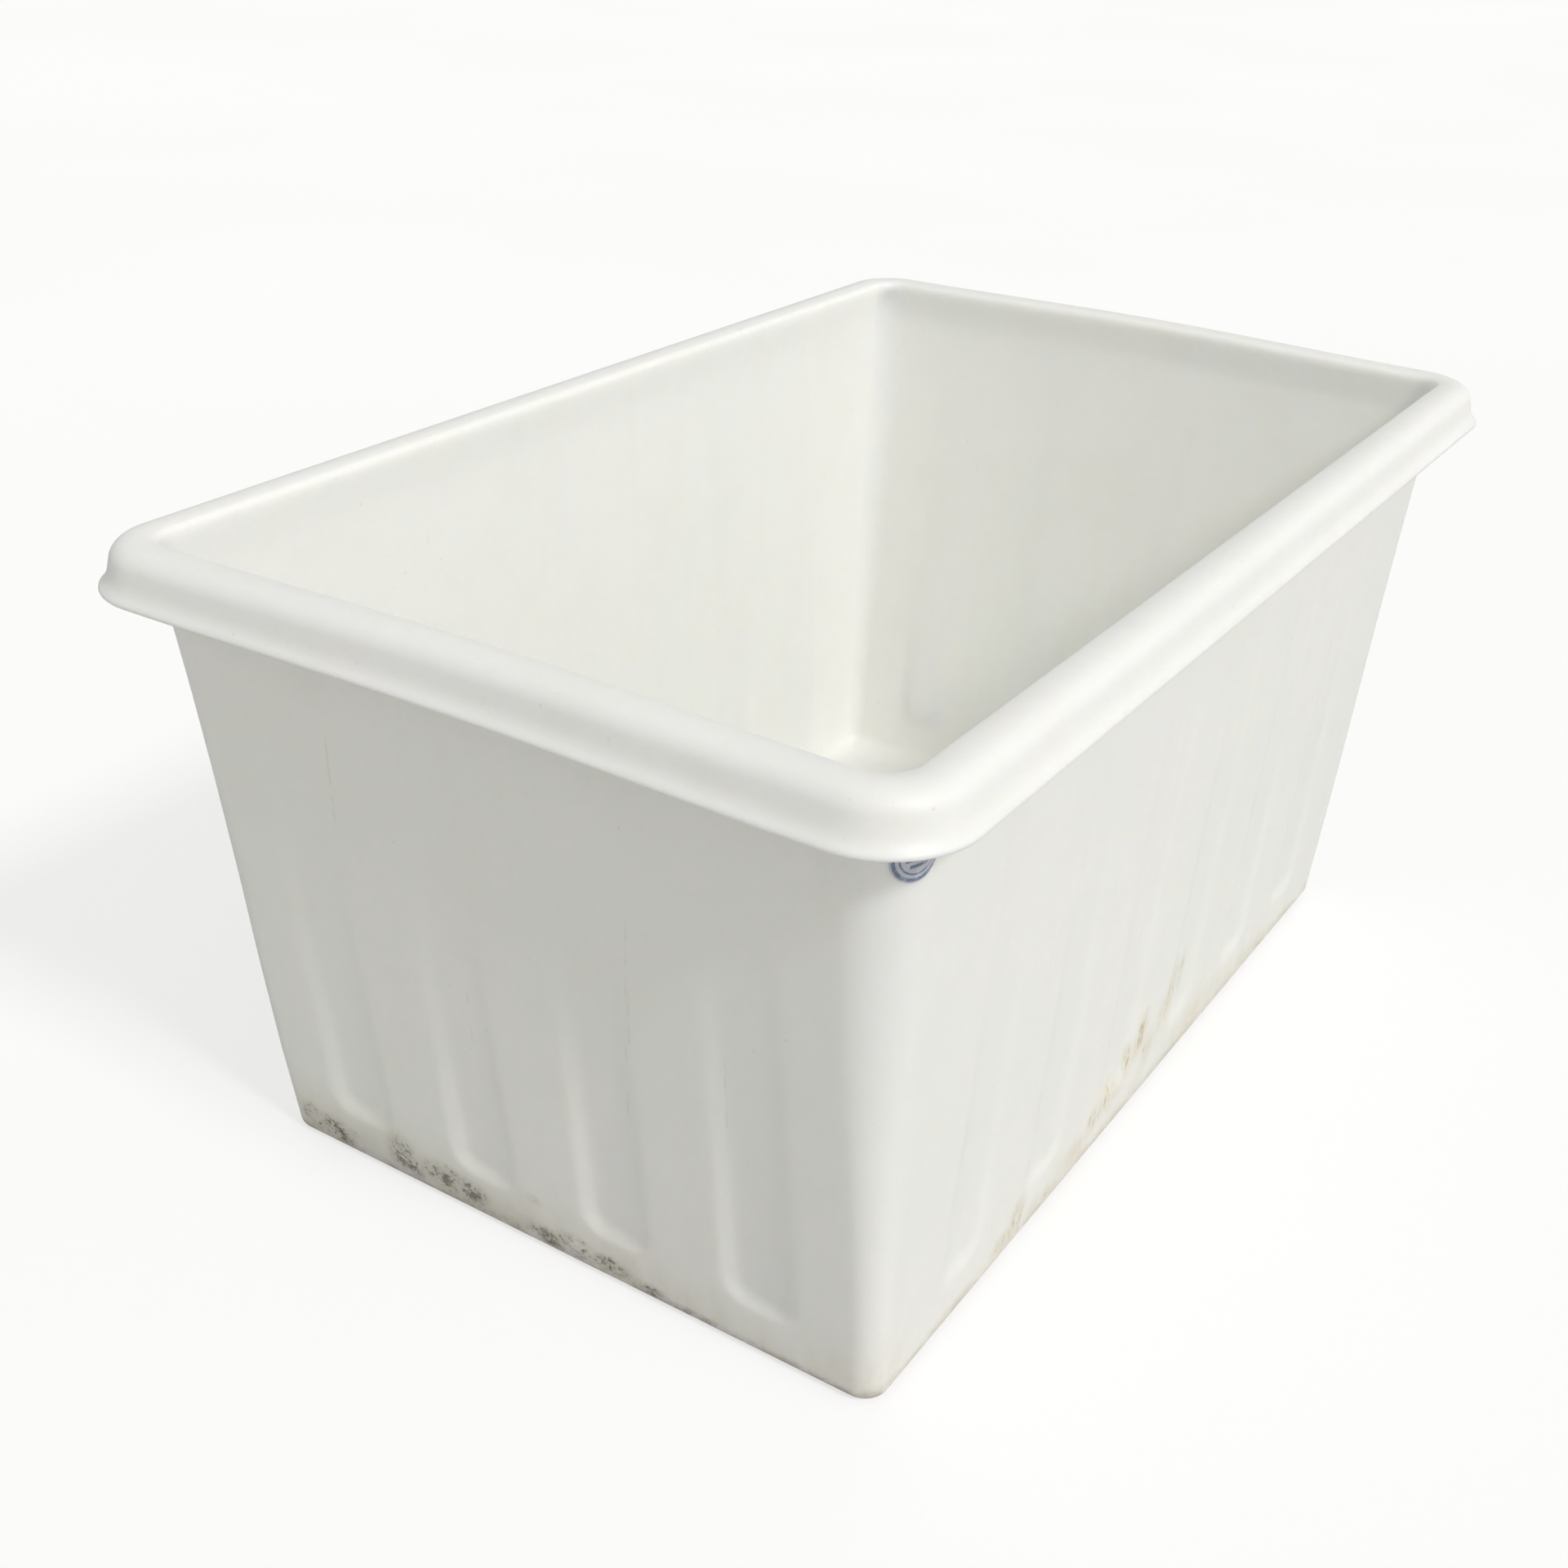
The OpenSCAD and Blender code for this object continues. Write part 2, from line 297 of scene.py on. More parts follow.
def build_shell():
    verts, faces = [], []
    for (cx, cy, r), z, push in LOOPS:
        for col in COLS:
            verts.append(place(col, cx, cy, r, z, push))
    n = len(LOOPS)
    for k in range(n - 1):
        a, b = k * NC, (k + 1) * NC
        for i in range(NC):
            j = (i + 1) % NC
            faces.append((a + i, a + j, b + j, b + i))

    def cap(base, loop, up):
        """A structured grid over the flat inside one loop: a middle grid, four side strips, four corner fans."""
        (cx, cy, r), z, _ = loop
        xs = [-cx] + [-(EDGE_X + (cx - EDGE_X) * s) for s in reversed(STEPS)] + list(SIDE_X) + [EDGE_X + (cx - EDGE_X) * s for s in STEPS] + [cx]
        ys = [-cy] + [-(EDGE_Y + (cy - EDGE_Y) * s) for s in reversed(STEPS)] + list(END_Y) + [EDGE_Y + (cy - EDGE_Y) * s for s in STEPS] + [cy]
        nx, ny = len(xs), len(ys)
        start = len(verts)
        for y in ys:
            for x in xs:
                sag = 0.0
                if up:
                    e = ease((cx - abs(x)) / 200.0) * ease((cy - abs(y)) / 140.0)
                    sag = 0.55 * e * (math.sin(x / 88.0 + 0.7) * math.sin(y / 71.0 + 0.2) + 0.5 * math.sin(x / 150.0 + y / 95.0))
                verts.append((x, y, z + sag))

        def g(i, j):
            return start + j * nx + i

        def put(f):
            faces.append(tuple(f) if up else tuple(reversed(f)))

        for j in range(ny - 1):
            for i in range(nx - 1):
                put((g(i, j), g(i + 1, j), g(i + 1, j + 1), g(i, j + 1)))
        # index of each run of columns in the loop
        arc0 = {}
        pos = 0
        order = [("arc", 2), ("front", nx - 2), ("arc", 3), ("right", ny - 2), ("arc", 0), ("rear", nx - 2), ("arc", 1), ("left", ny - 2)]
        runs = []
        for name, v in order:
            if name == "arc":
                arc0[v] = pos
                pos += ARC_N + 1
            else:
                runs.append((name, pos, v))
                pos += v
        assert pos == NC, (pos, NC)
        corner = {2: g(0, 0), 3: g(nx - 1, 0), 0: g(nx - 1, ny - 1), 1: g(0, ny - 1)}
        for q, first in arc0.items():
            for i in range(ARC_N):
                put((corner[q], base + first + i, base + first + i + 1))
        for name, first, count in runs:
            loop_ids = [base + (first - 1) % NC] + [base + first + i for i in range(count)] + [base + (first + count) % NC]
            if name == "front":
                grid = [g(i, 0) for i in range(nx)]
            elif name == "right":
                grid = [g(nx - 1, j) for j in range(ny)]
            elif name == "rear":
                grid = [g(nx - 1 - i, ny - 1) for i in range(nx)]
            else:
                grid = [g(0, ny - 1 - j) for j in range(ny)]
            for i in range(len(grid) - 1):
                put((loop_ids[i], loop_ids[i + 1], grid[i + 1], grid[i]))

    cap(0, LOOPS[0], False)
    cap((n - 1) * NC, LOOPS[-1], True)

    mesh = bpy.data.meshes.new("tub_shell")
    mesh.from_pydata([(x * MM, y * MM, z * MM) for x, y, z in verts], [], faces)
    mesh.validate()
    mesh.update()
    for p in mesh.polygons:
        p.use_smooth = True
    obj = bpy.data.objects.new("tub_shell", mesh)
    bpy.context.scene.collection.objects.link(obj)
    return obj


# ---------------------------------------------------------------- the round sticker
LABEL_X, LABEL_Z, LABEL_D = -568.0, 561.0, 50.0


def build_label():
    """A thin round sticker that wraps the front left corner, with a polar grid and a UV that holds its own plane."""
    def skin(u, z, lift):
        # u runs along the skin from the point of the front wall at LABEL_X, towards the left end when negative
        cx, cy, r = wall(z, 0.0)
        z_out = z + bow(-cy - r, z)
        flat = -cx - LABEL_X
        if u >= flat:
            return (LABEL_X + u, -(cy + r) - lift, z_out)
        a = (flat - u) / r
        a = min(a, math.pi / 2.0)
        extra = (flat - u) - a * r
        x = -cx - (r + lift) * math.sin(a)
        y = -cy - (r + lift) * math.cos(a)
        if extra > 0.0:
            y += extra
        return (x, y, z_out)

    rings = (0.0, 3.0, 6.0, 9.0, 12.0, 15.0, 18.0, 20.5, 22.5, 24.0, 24.7, 25.0)
    seg = 96
    top, bottom, thick = 0.42, 0.06, []
    verts, uvs, faces = [], [], []

    def ring(rad, lift):
        ids = []
        for s in range(1 if rad == 0.0 else seg):
            t = 2.0 * math.pi * s / seg
            u, v = rad * math.cos(t), rad * math.sin(t)
            ids.append(len(verts))
            verts.append(skin(u, LABEL_Z + v, lift))
            uvs.append((0.5 + u / LABEL_D, 0.5 + v / LABEL_D))
        return ids

    def join(a, b):
        for s in range(seg):
            t = (s + 1) % seg
            if len(a) == 1:
                faces.append((a[0], b[s], b[t]))
            elif len(b) == 1:
                faces.append((b[0], a[t], a[s]))
            else:
                faces.append((a[s], b[s], b[t], a[t]))

    seq = [ring(r, top) for r in rings[:-1]] + [ring(25.0, top - 0.1), ring(25.0, bottom)] + [ring(r, bottom) for r in reversed(rings[:-1])]
    for a, b in zip(seq, seq[1:]):
        join(a, b)
    mesh = bpy.data.meshes.new("label_sticker")
    mesh.from_pydata([(x * MM, y * MM, z * MM) for x, y, z in verts], [], faces)
    mesh.validate()
    mesh.update()
    layer = mesh.uv_layers.new(name="plane")
    for loop in mesh.loops:
        layer.data[loop.index].uv = uvs[loop.vertex_index]
    for p in mesh.polygons:
        p.use_smooth = True
    obj = bpy.data.objects.new("label_sticker", mesh)
    bpy.context.scene.collection.objects.link(obj)
    return obj


# ---------------------------------------------------------------- material helpers
class Net:
    def __init__(self, name):
        self.mat = bpy.data.materials.new(name)
        self.mat.use_nodes = True
        self.t = self.mat.node_tree
        self.t.nodes.clear()
        self.out = self.t.nodes.new("ShaderNodeOutputMaterial")
        self.bsdf = self.t.nodes.new("ShaderNodeBsdfPrincipled")
        self.t.links.new(self.bsdf.outputs[0], self.out.inputs[0])
        self.coord = self.t.nodes.new("ShaderNodeTexCoord")
        self.p = self.coord.outputs["Object"]
        sep = self.t.nodes.new("ShaderNodeSeparateXYZ")
        self.t.links.new(self.p, sep.inputs[0])
        self.x, self.y, self.z = sep.outputs

    def put(self, socket, value):
        if isinstance(value, bpy.types.NodeSocket):
            self.t.links.new(value, socket)
        else:
            socket.default_value = value

    def math(self, op, a, b=0.0, c=None, clamp_it=False):
        n = self.t.nodes.new("ShaderNodeMath")
        n.operation = op
        n.use_clamp = clamp_it
        self.put(n.inputs[0], a)
        self.put(n.inputs[1], b)
        if c is not None:
            self.put(n.inputs[2], c)
        return n.outputs[0]

    def add(self, a, b): return self.math("ADD", a, b)
    def sub(self, a, b): return self.math("SUBTRACT", a, b)
    def mul(self, a, b): return self.math("MULTIPLY", a, b)
    def top(self, a, b): return self.math("MAXIMUM", a, b)
    def low(self, a, b): return self.math("MINIMUM", a, b)

    def ramp(self, v, a, b, c=0.0, d=1.0, smooth=True):
        n = self.t.nodes.new("ShaderNodeMapRange")
        n.interpolation_type = "SMOOTHSTEP" if smooth else "LINEAR"
        n.clamp = True
        self.put(n.inputs[0], v)
        for i, val in enumerate((a, b, c, d)):
            n.inputs[1 + i].default_value = val
        return n.outputs[0]

    def scaled(self, sx, sy, sz, ox=0.0, oy=0.0, oz=0.0):
        n = self.t.nodes.new("ShaderNodeMapping")
        n.inputs["Location"].default_value = (ox, oy, oz)
        n.inputs["Scale"].default_value = (sx, sy, sz)
        self.t.links.new(self.p, n.inputs[0])
        return n.outputs[0]

    def noise(self, vec, scale, detail=3.0, rough=0.55, twist=0.0):
        n = self.t.nodes.new("ShaderNodeTexNoise")
        self.t.links.new(vec, n.inputs["Vector"])
        n.inputs["Scale"].default_value = scale
        n.inputs["Detail"].default_value = detail
        n.inputs["Roughness"].default_value = rough
        n.inputs["Distortion"].default_value = twist
        return n.outputs["Fac"]

    def cells(self, vec, scale, feature="F1"):
        n = self.t.nodes.new("ShaderNodeTexVoronoi")
        n.feature = feature
        self.t.links.new(vec, n.inputs["Vector"])
        n.inputs["Scale"].default_value = scale
        return n.outputs["Distance"]

    def colour(self, fac, a, b, blend="MIX"):
        n = self.t.nodes.new("ShaderNodeMix")
        n.data_type = "RGBA"
        n.blend_type = blend
        n.clamp_factor = True
        self.put(n.inputs[0], fac)
        self.put(n.inputs[6], a)
        self.put(n.inputs[7], b)
        return n.outputs[2]

    def blob(self, a, b, ca, cb, ra, rb, hard=0.35):
        """1 inside an ellipse round (ca, cb) in the plane of sockets a and b, fading to 0 at its edge."""
        da = self.mul(self.sub(a, ca), 1.0 / ra)
        db = self.mul(self.sub(b, cb), 1.0 / rb)
        d = self.math("SQRT", self.add(self.mul(da, da), self.mul(db, db)))
        return self.ramp(d, hard, 1.0, 1.0, 0.0)

    def stroke(self, a, b, a0, b0, a1, b1, width):
        """1 on the segment from (a0, b0) to (a1, b1), fading to 0 at width from it."""
        ux, uy = a1 - a0, b1 - b0
        length = math.hypot(ux, uy)
        ux, uy = ux / length, uy / length
        pa, pb = self.sub(a, a0), self.sub(b, b0)
        along = self.add(self.mul(pa, ux), self.mul(pb, uy))
        off = self.math("ABSOLUTE", self.sub(self.mul(pa, uy), self.mul(pb, ux)))
        past = self.math("ABSOLUTE", self.sub(along, length / 2.0))
        ends = self.ramp(past, length * 0.32, length * 0.52, 1.0, 0.0)
        return self.mul(self.ramp(off, 0.0, width, 1.0, 0.0), ends)

    def bump(self, height, strength, distance, normal=None):
        n = self.t.nodes.new("ShaderNodeBump")
        n.inputs["Strength"].default_value = strength
        n.inputs["Distance"].default_value = distance
        self.t.links.new(height, n.inputs["Height"])
        if normal is not None:
            self.t.links.new(normal, n.inputs["Normal"])
        return n.outputs[0]


def rgb(r, g, b):
    """sRGB 0 to 255 as a linear colour."""
    def f(v):
        v /= 255.0
        return v / 12.92 if v <= 0.04045 else ((v + 0.055) / 1.055) ** 2.4
    return (f(r), f(g), f(b), 1.0)


def tub_material():
    m = Net("natural_polyethylene")
    x, y, z = m.x, m.y, m.z
    ax, ay = m.math("ABSOLUTE", x), m.math("ABSOLUTE", y)

    # --- where on the moulding we are
    geo = m.t.nodes.new("ShaderNodeNewGeometry")
    facing = m.t.nodes.new("ShaderNodeSeparateXYZ")
    m.t.links.new(geo.outputs["True Normal"], facing.inputs[0])
    nx, ny = facing.outputs[0], facing.outputs[1]
    outward_x = m.ramp(m.mul(nx, m.math("SIGN", x)), 0.15, 0.45)
    outward_y = m.ramp(m.mul(ny, m.math("SIGN", y)), 0.15, 0.45)
    outside_end = m.mul(m.ramp(ax, 0.500, 0.512), outward_x)
    outside_side = m.mul(m.ramp(ay, 0.316, 0.324), outward_y)
    outside_left = m.mul(outside_end, m.ramp(x, 0.1, -0.1))
    outside_front = m.mul(outside_side, m.ramp(y, 0.1, -0.1))
    outside = m.top(outside_end, outside_side)

    # --- the plastic: natural white with slow clouding and very faint flow marks down the wall
    cloud = m.noise(m.scaled(1, 1, 1), 3.1, 4.0, 0.55)
    cloud2 = m.noise(m.scaled(1, 1, 1, 3.3, 1.1, 0.4), 11.0, 3.0, 0.6)
    flow = m.noise(m.scaled(21, 21, 1.5, 0.2, 0.9, 0.0), 1.0, 3.0, 0.6)
    fine = m.noise(m.scaled(1, 1, 1), 420.0, 2.0, 0.6)
    base = m.colour(m.ramp(cloud, 0.35, 0.68), rgb(247, 246, 242), rgb(243, 245, 240))
    base = m.colour(m.mul(m.ramp(cloud2, 0.45, 0.75), 0.35), base, rgb(240, 239, 232))
    base = m.colour(m.mul(m.ramp(flow, 0.50, 0.80), 0.13), base, rgb(230, 229, 220))
    base = m.colour(m.mul(m.ramp(fine, 0.50, 0.80), 0.08), base, rgb(224, 223, 214))

    # --- rubbed, slightly soiled rim and lip edge
    crown = m.ramp(z, 0.606, 0.622)
    rub = m.noise(m.scaled(9, 9, 9, 0.5, 0.1, 0.0), 1.0, 5.0, 0.68)
    rub_fine = m.noise(m.scaled(70, 70, 30, 0.5, 0.1, 0.0), 1.0, 4.0, 0.7)
    rim_soil = m.mul(crown, m.mul(m.ramp(rub, 0.50, 0.74), m.ramp(rub_fine, 0.42, 0.66)))
    base = m.colour(m.mul(rim_soil, 0.20), base, rgb(208, 209, 207))
    lip = m.mul(m.top(m.ramp(ax, 0.6455, 0.649), m.ramp(ay, 0.4005, 0.404)), m.ramp(z, 0.600, 0.594))
    lip_dirt = m.mul(lip, m.ramp(m.noise(m.scaled(7, 7, 7), 1.0, 5.0, 0.7), 0.36, 0.66))
    base = m.colour(m.mul(lip_dirt, 0.12), base, rgb(196, 190, 176))
    base_edge = m.mul(m.ramp(z, 0.0085, 0.003), m.ramp(m.noise(m.scaled(24, 24, 24, 0.2, 0.0, 0.0), 1.0, 5.0, 0.72), 0.36, 0.60))
    base = m.colour(m.mul(base_edge, 0.80), base, rgb(139, 121, 97))

    # --- dust that has settled on the foot of the outer walls, and the left end made greyer and darker towards its foot, more so towards the rear
    dust_n = m.noise(m.scaled(16, 16, 7), 1.0, 5.0, 0.66)
    dust = m.mul(m.mul(outside, m.ramp(z, 0.10, 0.004)), m.ramp(dust_n, 0.36, 0.72))
    base = m.colour(m.mul(dust, 0.32), base, rgb(205, 196, 174))
    # the left end is greyed darker towards its foot, more strongly towards the rear
    foot_n = m.noise(m.scaled(9, 9, 9, 0.3, 0.0, 0.6), 1.0, 4.0, 0.6)
    foot = m.mul(m.mul(outside_left, m.ramp(z, 0.095, 0.0)), m.mul(m.ramp(y, -0.26, 0.06, 0.25, 1.0), m.ramp(foot_n, 0.25, 0.62, 0.55, 1.0)))
    base = m.colour(m.mul(foot, 0.46), base, rgb(192, 190, 182))

    # --- dried splashes of mud on the left end, just above the base edge
    spots = None
    for cy, cz, ry, rz, w in ((0.268, 0.020, 0.036, 0.020, 1.0), (0.300, 0.028, 0.016, 0.018, 0.8), (0.182, 0.033, 0.021, 0.030, 1.0),
                              (0.168, 0.022, 0.020, 0.014, 0.9), (0.130, 0.029, 0.036, 0.021, 1.0), (0.098, 0.026, 0.026, 0.022, 0.95),
                              (0.055, 0.012, 0.040, 0.010, 0.5), (0.010, 0.018, 0.036, 0.016, 0.85), (-0.022, 0.022, 0.030, 0.017, 0.95),
                              (-0.062, 0.018, 0.030, 0.015, 0.95), (-0.105, 0.013, 0.026, 0.010, 0.85), (-0.150, 0.009, 0.040, 0.007, 0.7),
                              (0.018, 0.058, 0.012, 0.008, 0.42), (-0.205, 0.007, 0.050, 0.006, 0.4)):
        b = m.mul(m.blob(y, z, cy, cz, ry * 1.35, rz * 1.35, 0.1), w)
        spots = b if spots is None else m.top(spots, b)
    grain = m.noise(m.scaled(190, 190, 215), 1.0, 8.0, 0.78)
    coarse = m.noise(m.scaled(44, 44, 60, 0.4, 0.2, 0.1), 1.0, 6.0, 0.70)
    field = m.add(m.mul(grain, 0.60), m.mul(coarse, 0.40))
    cut = m.sub(0.635, m.mul(spots, 0.165))
    mud = m.mul(m.mul(m.ramp(m.sub(field, cut), 0.0, 0.085), outside_left), m.ramp(spots, 0.0, 0.35))
    halo = m.mul(m.mul(m.ramp(spots, 0.0, 0.9), outside_left), m.ramp(field, 0.36, 0.58))
    base = m.colour(m.mul(halo, 0.44), base, rgb(152, 144, 126))
    mud_tone = m.colour(m.ramp(coarse, 0.40, 0.60), rgb(58, 52, 42), rgb(112, 100, 78))
    base = m.colour(m.mul(mud, 0.74), base, mud_tone)
    edge_line = m.mul(m.mul(outside_left, m.ramp(z, 0.017, 0.006)), m.ramp(coarse, 0.38, 0.62))
    base = m.colour(m.mul(edge_line, 0.46), base, rgb(136, 121, 98))

    # --- tan run marks on the front wall, low down
    runs = None
    for cx, cz, rx, rz, w in ((0.055, 0.098, 0.018, 0.050, 1.0), (0.078, 0.112, 0.011, 0.046, 0.55), (0.030, 0.088, 0.012, 0.040, 0.6),
                              (-0.022, 0.090, 0.017, 0.036, 1.0), (-0.045, 0.076, 0.012, 0.030, 0.8), (0.006, 0.060, 0.016, 0.034, 0.6),
                              (-0.088, 0.052, 0.034, 0.026, 0.75), (-0.118, 0.044, 0.016, 0.026, 0.75), (-0.160, 0.030, 0.040, 0.020, 0.5),
                              (-0.225, 0.020, 0.040, 0.016, 0.5), (-0.276, 0.034, 0.015, 0.028, 0.85), (-0.300, 0.022, 0.022, 0.016, 0.8),
                              (0.150, 0.030, 0.090, 0.026, 0.42), (0.300, 0.020, 0.110, 0.018, 0.36), (-0.385, 0.010, 0.040, 0.010, 0.35)):
        b = m.mul(m.blob(x, z, cx, cz, rx * 1.75, rz * 1.35, 0.0), w)
        runs = b if runs is None else m.top(runs, b)
    streak = m.noise(m.scaled(95, 40, 19), 1.0, 8.0, 0.76)
    speck = m.noise(m.scaled(130, 90, 100, 0.7, 0.0, 0.3), 1.0, 8.0, 0.78)
    mix = m.add(m.mul(streak, 0.55), m.mul(speck, 0.45))
    run = m.mul(m.mul(m.ramp(m.sub(mix, m.sub(0.625, m.mul(runs, 0.17))), 0.0, 0.10), outside_front), m.ramp(runs, 0.0, 0.35))
    wash = m.mul(m.mul(m.mul(m.ramp(runs, 0.0, 0.85), outside_front), m.ramp(mix, 0.34, 0.58)), 0.55)
    base = m.colour(wash, base, rgb(208, 196, 164))
    base = m.colour(m.mul(run, 0.46), base, rgb(146, 127, 92))
    foot = m.mul(m.mul(outside_front, m.ramp(z, 0.024, 0.003)), m.ramp(m.noise(m.scaled(22, 30, 70, 0.1, 0.4, 0.0), 1.0, 7.0, 0.76), 0.36, 0.62))
    base = m.colour(m.mul(foot, 0.50), base, rgb(178, 158, 122))

    # --- scratches: a few long ones on the left end, and a thin field of short scuffs everywhere
    long_marks = None
    for a0, b0, a1, b1 in ((-0.125, 0.446, -0.097, 0.184), (0.170, 0.500, 0.182, 0.400), (-0.118, 0.360, -0.112, 0.290), (0.060, 0.300, 0.066, 0.210),
                           (-0.205, 0.330, -0.200, 0.240)):
        b = m.stroke(y, z, a0, b0, a1, b1, 0.0022)
        long_marks = b if long_marks is None else m.top(long_marks, b)
    long_marks = m.mul(long_marks, outside_left)
    for a0, b0, a1, b1 in ((-0.310, 0.420, -0.296, 0.300), (0.120, 0.470, 0.131, 0.330), (0.330, 0.300, 0.326, 0.180)):
        long_marks = m.top(long_marks, m.mul(m.stroke(x, z, a0, b0, a1, b1, 0.0020), m.mul(outside_front, 0.4)))
    long_marks = m.mul(long_marks, m.ramp(m.noise(m.scaled(60, 60, 40), 1.0, 3.0, 0.6), 0.38, 0.60))
    base = m.colour(m.mul(long_marks, 0.15), base, rgb(160, 157, 148))
    scuff_a = m.noise(m.scaled(260, 260, 9, 0.3, 0.0, 0.0), 1.0, 2.0, 0.5, 0.6)
    scuff_b = m.noise(m.scaled(1, 1, 1, 1.3, 0.0, 0.0), 5.5, 3.0, 0.6)
    scuff = m.mul(m.ramp(scuff_a, 0.67, 0.75), m.ramp(scuff_b, 0.48, 0.64))
    base = m.colour(m.mul(scuff, 0.13), base, rgb(204, 202, 194))
    flecks = m.mul(m.ramp(m.cells(m.scaled(1, 1, 1), 46.0), 0.085, 0.05), m.ramp(scuff_b, 0.50, 0.62))
    base = m.colour(m.mul(flecks, 0.22), base, rgb(196, 194, 184))

    m.put(m.bsdf.inputs["Base Color"], base)

    # --- satin finish: duller where rubbed, dusty or muddy
    rough = m.add(0.36, m.mul(m.ramp(cloud2, 0.30, 0.75), 0.09))
    rough = m.add(rough, m.mul(m.ramp(fine, 0.40, 0.70), 0.05))
    rough = m.add(rough, m.mul(rim_soil, 0.12))
    rough = m.add(rough, m.mul(scuff, 0.16))
    rough = m.add(rough, m.mul(m.top(dust, foot), 0.22))
    rough = m.math("ADD", rough, m.mul(m.top(mud, run), 0.40), clamp_it=True)
    m.put(m.bsdf.inputs["Roughness"], rough)

    # --- moulded skin: soft orange peel, a slow waviness, scratches cut in and mud standing proud
    peel = m.noise(m.scaled(1, 1, 1), 210.0, 3.0, 0.55)
    wave = m.noise(m.scaled(1, 1, 1), 17.0, 3.0, 0.5)
    n1 = m.bump(wave, 0.16, 0.004)
    n2 = m.bump(peel, 0.10, 0.0009, n1)
    relief = m.sub(m.mul(mud, 1.0), m.add(m.mul(scuff, 0.30), m.mul(long_marks, 0.45)))
    n3 = m.bump(relief, 0.55, 0.0010, n2)
    m.put(m.bsdf.inputs["Normal"], n3)

    m.bsdf.inputs["IOR"].default_value = 1.51
    m.bsdf.inputs["Specular IOR Level"].default_value = 0.42
    m.bsdf.subsurface_method = "RANDOM_WALK"
    m.bsdf.inputs["Subsurface Weight"].default_value = 0.9
    m.bsdf.inputs["Subsurface Radius"].default_value = (1.0, 0.93, 0.78)
    m.bsdf.inputs["Subsurface Scale"].default_value = 0.012
    return m.mat


def label_material():
    """A blank printed roundel: a blue border, a thin inner ring and plain bars, on pale film."""
    m = Net("printed_label_film")
    uv = m.t.nodes.new("ShaderNodeUVMap")
    uv.uv_map = "plane"
    sep = m.t.nodes.new("ShaderNodeSeparateXYZ")
    m.t.links.new(uv.outputs[0], sep.inputs[0])
    u, v = m.mul(m.sub(sep.outputs[0], 0.5), 2.0), m.mul(m.sub(sep.outputs[1], 0.5), 2.0)
    d = m.math("SQRT", m.add(m.mul(u, u), m.mul(v, v)))

    def band(val, a, b, soft=0.018):
        return m.mul(m.ramp(val, a - soft, a + soft), m.ramp(val, b - soft, b + soft, 1.0, 0.0))

    ink = band(d, 0.84, 0.955)
    ink = m.top(ink, band(d, 0.68, 0.735))
    inner = m.ramp(d, 0.62, 0.58)
    bars = None
    for c, half, w in ((-0.42, 0.34, 0.055), (-0.20, 0.52, 0.055), (0.03, 0.56, 0.055), (0.27, 0.46, 0.055)):
        b = m.mul(band(v, c - w, c + w), m.ramp(m.math("ABSOLUTE", u), half, half - 0.03))
        bars = b if bars is None else m.top(bars, b)
    ink = m.top(ink, m.mul(bars, inner))
    worn = m.noise(m.scaled(1, 1, 1), 520.0, 4.0, 0.7)
    worn2 = m.noise(m.scaled(1, 1, 1, 0.4, 0.0, 0.1), 130.0, 4.0, 0.65)
    ink = m.mul(ink, m.mul(m.ramp(worn, 0.30, 0.50, 0.35, 1.0), m.ramp(worn2, 0.30, 0.52, 0.30, 1.0)))
    paper = m.colour(m.ramp(worn2, 0.35, 0.7), rgb(216, 219, 226), rgb(196, 201, 213))
    tone = m.colour(m.ramp(worn, 0.35, 0.7), rgb(84, 103, 148), rgb(114, 130, 166))
    m.put(m.bsdf.inputs["Base Color"], m.colour(m.mul(ink, 0.92), paper, tone))
    rough = m.add(0.24, m.mul(m.ramp(worn2, 0.3, 0.7), 0.22))
    m.put(m.bsdf.inputs["Roughness"], rough)
    m.put(m.bsdf.inputs["Normal"], m.bump(m.add(m.mul(worn, 0.5), m.mul(ink, 0.5)), 0.25, 0.0002))
    m.bsdf.inputs["IOR"].default_value = 1.5
    m.bsdf.inputs["Coat Weight"].default_value = 0.25
    m.bsdf.inputs["Coat Roughness"].default_value = 0.2
    return m.mat


# ---------------------------------------------------------------- the pieces
shell = build_shell()
tub_mat = tub_material()
shell.data.materials.append(tub_mat)
moulding = [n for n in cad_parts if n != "round_label"]
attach(shell, "root")
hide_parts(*moulding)

label = build_label()
label_mat = label_material()
label.data.materials.append(label_mat)
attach(label, "root")
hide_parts("round_label")

# the CAD nodes keep a finish too, though the pieces above stand for them
for name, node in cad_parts.items():
    node.data.materials.clear()
    node.data.materials.append(label_mat if name == "round_label" else tub_mat)

# ---------------------------------------------------------------- floor, light and camera
def make_floor(name, z, tone_a, tone_b, glow):
    mesh = bpy.data.meshes.new(name)
    half, cuts = 40.0, 8
    at = [-half + 2 * half * i / cuts for i in range(cuts + 1)]
    row = cuts + 1
    mesh.from_pydata([(u, v, z) for v in at for u in at], [],
                     [(j * row + i, j * row + i + 1, (j + 1) * row + i + 1, (j + 1) * row + i) for j in range(cuts) for i in range(cuts)])
    mesh.update()
    obj = bpy.data.objects.new(name, mesh)
    bpy.context.scene.collection.objects.link(obj)
    net = Net(name)
    speck = net.noise(net.scaled(1, 1, 1), 0.6, 2.0, 0.5)
    net.put(net.bsdf.inputs["Base Color"], net.colour(net.ramp(speck, 0.3, 0.7), tone_a, tone_b))
    net.bsdf.inputs["Roughness"].default_value = 0.9
    net.bsdf.inputs["Specular IOR Level"].default_value = 0.1
    net.bsdf.inputs["Emission Color"].default_value = (1.0, 1.0, 0.995, 1.0)
    net.bsdf.inputs["Emission Strength"].default_value = glow
    mesh.materials.append(net.mat)
    return obj


